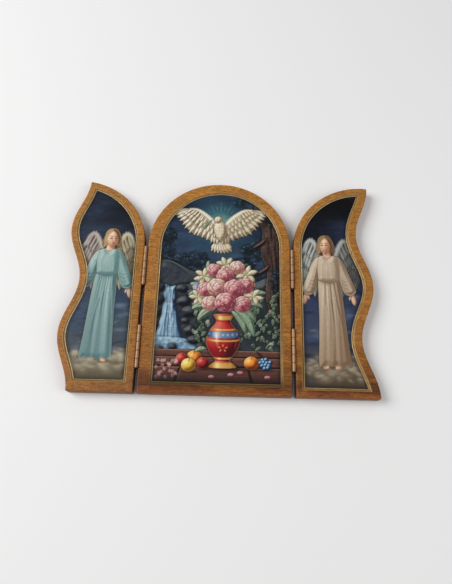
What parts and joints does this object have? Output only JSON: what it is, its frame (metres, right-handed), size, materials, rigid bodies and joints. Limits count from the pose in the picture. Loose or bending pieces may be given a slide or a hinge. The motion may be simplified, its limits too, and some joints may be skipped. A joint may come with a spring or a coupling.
{
  "type": "folding triptych altarpiece",
  "caption": "Small wooden folding triptych: an arched centre panel and two waved wings on brass hinges, each with a gilt-edged printed picture in a recess.",
  "frame": {"origin": "middle of the centre board's back face, at mid height", "axes": "+X to the right of the pictures, +Y towards their top, +Z out of the front"},
  "size_m": [0.1869, 0.135, 0.0084],
  "materials": {
    "wood": "orange-brown stain, satin varnish",
    "brass": "pinkish, slightly dulled",
    "gilding": "gold line and olive-gold paint",
    "centre_picture": "varnished print",
    "left_picture": "varnished print",
    "right_picture": "varnished print"
  },
  "bodies": {
    "centre": {"centre_board": "wood", "centre_print": "centre_picture", "left_upper_hinge_centre_leaf": "brass", "left_upper_hinge_centre_nail_1": "brass", "left_upper_hinge_centre_nail_2": "brass", "left_upper_hinge_pin": "brass", "left_lower_hinge_centre_leaf": "brass", "left_lower_hinge_centre_nail_1": "brass", "left_lower_hinge_centre_nail_2": "brass", "left_lower_hinge_pin": "brass", "right_upper_hinge_centre_leaf": "brass", "right_upper_hinge_centre_nail_1": "brass", "right_upper_hinge_centre_nail_2": "brass", "right_upper_hinge_pin": "brass", "right_lower_hinge_centre_leaf": "brass", "right_lower_hinge_centre_nail_1": "brass", "right_lower_hinge_centre_nail_2": "brass", "right_lower_hinge_pin": "brass"},
    "left_wing": {"left_board": "wood", "left_print": "left_picture", "left_upper_hinge_wing_leaf": "brass", "left_upper_hinge_wing_nail_1": "brass", "left_upper_hinge_wing_nail_2": "brass", "left_lower_hinge_wing_leaf": "brass", "left_lower_hinge_wing_nail_1": "brass", "left_lower_hinge_wing_nail_2": "brass"},
    "right_wing": {"right_board": "wood", "right_print": "right_picture", "right_upper_hinge_wing_leaf": "brass", "right_upper_hinge_wing_nail_1": "brass", "right_upper_hinge_wing_nail_2": "brass", "right_lower_hinge_wing_leaf": "brass", "right_lower_hinge_wing_nail_1": "brass", "right_lower_hinge_wing_nail_2": "brass"}
  },
  "joints": [
    {"name": "left_wing_fold", "type": "hinge", "parent": "centre", "child": "left_wing", "pos_m": [-0.04505, 0, 0.0075], "axis": [0, 1, 0], "range_deg": [0, 180]},
    {"name": "right_wing_fold", "type": "hinge", "parent": "centre", "child": "right_wing", "pos_m": [0.04505, 0, 0.0075], "axis": [0, -1, 0], "range_deg": [0, 180]}
  ]
}
